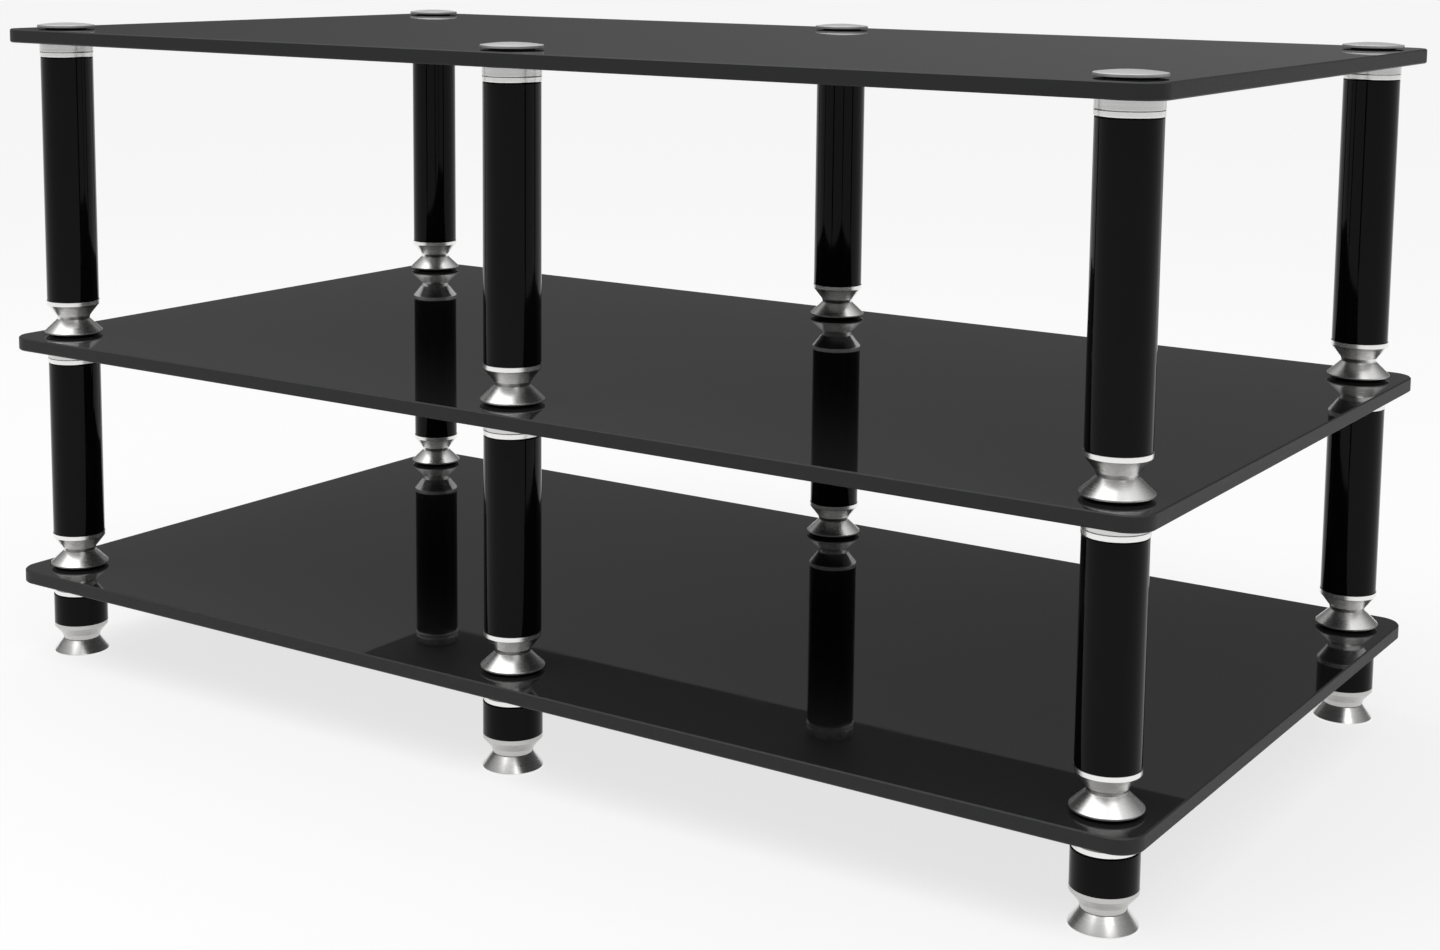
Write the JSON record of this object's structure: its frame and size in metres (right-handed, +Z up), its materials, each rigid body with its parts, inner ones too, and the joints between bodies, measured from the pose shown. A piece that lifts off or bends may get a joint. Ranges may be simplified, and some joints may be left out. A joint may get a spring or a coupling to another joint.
{
  "type": "av stand",
  "caption": "Low open AV stand of black glass shelves stacked on slim black tubes with polished collars, waisted spools, cups and flared levelling feet.",
  "frame": {"origin": "on the floor under the middle of the stand", "axes": "+X along the width to the right seen from the front, +Y to the back, +Z up"},
  "size_m": [1.1, 0.59, 0.5823],
  "materials": {
    "glass": "polished black tempered glass, ground edges",
    "tube": "gloss black",
    "polished": "turned and polished bright",
    "steel": "zinc plated thread",
    "washer": "matt",
    "glide": "matt"
  },
  "bodies": {
    "stand": {"bottom_shelf": "glass", "middle_shelf": "glass", "top_shelf": "glass", "upper_tube_front_left": "tube", "upper_tube_front_middle": "tube", "upper_tube_front_right": "tube", "upper_tube_back_left": "tube", "upper_tube_back_middle": "tube", "upper_tube_back_right": "tube", "middle_tube_front_left": "tube", "middle_tube_front_middle": "tube", "middle_tube_front_right": "tube", "middle_tube_back_left": "tube", "middle_tube_back_middle": "tube", "middle_tube_back_right": "tube", "lower_tube_front_left": "tube", "lower_tube_front_middle": "tube", "lower_tube_front_right": "tube", "lower_tube_back_left": "tube", "lower_tube_back_middle": "tube", "lower_tube_back_right": "tube", "lower_cup_front_left": "polished", "lower_cup_front_middle": "polished", "lower_cup_front_right": "polished", "lower_cup_back_left": "polished", "lower_cup_back_middle": "polished", "lower_cup_back_right": "polished", "upper_cup_front_left": "polished", "upper_cup_front_middle": "polished", "upper_cup_front_right": "polished", "upper_cup_back_left": "polished", "upper_cup_back_middle": "polished", "upper_cup_back_right": "polished", "cap_disc_front_left": "polished", "cap_disc_front_middle": "polished", "cap_disc_front_right": "polished", "cap_disc_back_left": "polished", "cap_disc_back_middle": "polished", "cap_disc_back_right": "polished", "foot_spools": "polished", "middle_spools": "polished", "upper_spools": "polished", "tube_plugs": "polished", "seat_rings": "polished", "joint_studs": "steel", "glass_washers": "washer"},
    "front_left_glide": {"foot_glide_front_left": "glide"},
    "front_left_foot": {"foot_front_left": "polished"},
    "front_middle_glide": {"foot_glide_front_middle": "glide"},
    "front_middle_foot": {"foot_front_middle": "polished"},
    "front_right_glide": {"foot_glide_front_right": "glide"},
    "front_right_foot": {"foot_front_right": "polished"},
    "back_left_glide": {"foot_glide_back_left": "glide"},
    "back_left_foot": {"foot_back_left": "polished"},
    "back_middle_glide": {"foot_glide_back_middle": "glide"},
    "back_middle_foot": {"foot_back_middle": "polished"},
    "back_right_glide": {"foot_glide_back_right": "glide"},
    "back_right_foot": {"foot_back_right": "polished"}
  },
  "joints": [
    {"name": "front_left_foot_height", "type": "slide", "parent": "stand", "child": "front_left_glide", "axis": [0, 0, -1], "range_m": [0, 0.01]},
    {"name": "front_left_foot_turn", "type": "hinge", "parent": "front_left_glide", "child": "front_left_foot", "pos_m": [-0.5125, -0.2525, 0], "axis": [0, 0, -1], "range_deg": [0, 2880]},
    {"name": "front_middle_foot_height", "type": "slide", "parent": "stand", "child": "front_middle_glide", "axis": [0, 0, -1], "range_m": [0, 0.01]},
    {"name": "front_middle_foot_turn", "type": "hinge", "parent": "front_middle_glide", "child": "front_middle_foot", "pos_m": [0, -0.2525, 0], "axis": [0, 0, -1], "range_deg": [0, 2880]},
    {"name": "front_right_foot_height", "type": "slide", "parent": "stand", "child": "front_right_glide", "axis": [0, 0, -1], "range_m": [0, 0.01]},
    {"name": "front_right_foot_turn", "type": "hinge", "parent": "front_right_glide", "child": "front_right_foot", "pos_m": [0.5125, -0.2525, 0], "axis": [0, 0, -1], "range_deg": [0, 2880]},
    {"name": "back_left_foot_height", "type": "slide", "parent": "stand", "child": "back_left_glide", "axis": [0, 0, -1], "range_m": [0, 0.01]},
    {"name": "back_left_foot_turn", "type": "hinge", "parent": "back_left_glide", "child": "back_left_foot", "pos_m": [-0.5125, 0.2525, 0], "axis": [0, 0, -1], "range_deg": [0, 2880]},
    {"name": "back_middle_foot_height", "type": "slide", "parent": "stand", "child": "back_middle_glide", "axis": [0, 0, -1], "range_m": [0, 0.01]},
    {"name": "back_middle_foot_turn", "type": "hinge", "parent": "back_middle_glide", "child": "back_middle_foot", "pos_m": [0, 0.2525, 0], "axis": [0, 0, -1], "range_deg": [0, 2880]},
    {"name": "back_right_foot_height", "type": "slide", "parent": "stand", "child": "back_right_glide", "axis": [0, 0, -1], "range_m": [0, 0.01]},
    {"name": "back_right_foot_turn", "type": "hinge", "parent": "back_right_glide", "child": "back_right_foot", "pos_m": [0.5125, 0.2525, 0], "axis": [0, 0, -1], "range_deg": [0, 2880]}
  ],
  "couplings": [
    {"joint": "front_left_foot_height", "follows": "front_left_foot_turn", "m_per_rad": 0.00019894},
    {"joint": "front_middle_foot_height", "follows": "front_middle_foot_turn", "m_per_rad": 0.00019894},
    {"joint": "front_right_foot_height", "follows": "front_right_foot_turn", "m_per_rad": 0.00019894},
    {"joint": "back_left_foot_height", "follows": "back_left_foot_turn", "m_per_rad": 0.00019894},
    {"joint": "back_middle_foot_height", "follows": "back_middle_foot_turn", "m_per_rad": 0.00019894},
    {"joint": "back_right_foot_height", "follows": "back_right_foot_turn", "m_per_rad": 0.00019894}
  ]
}
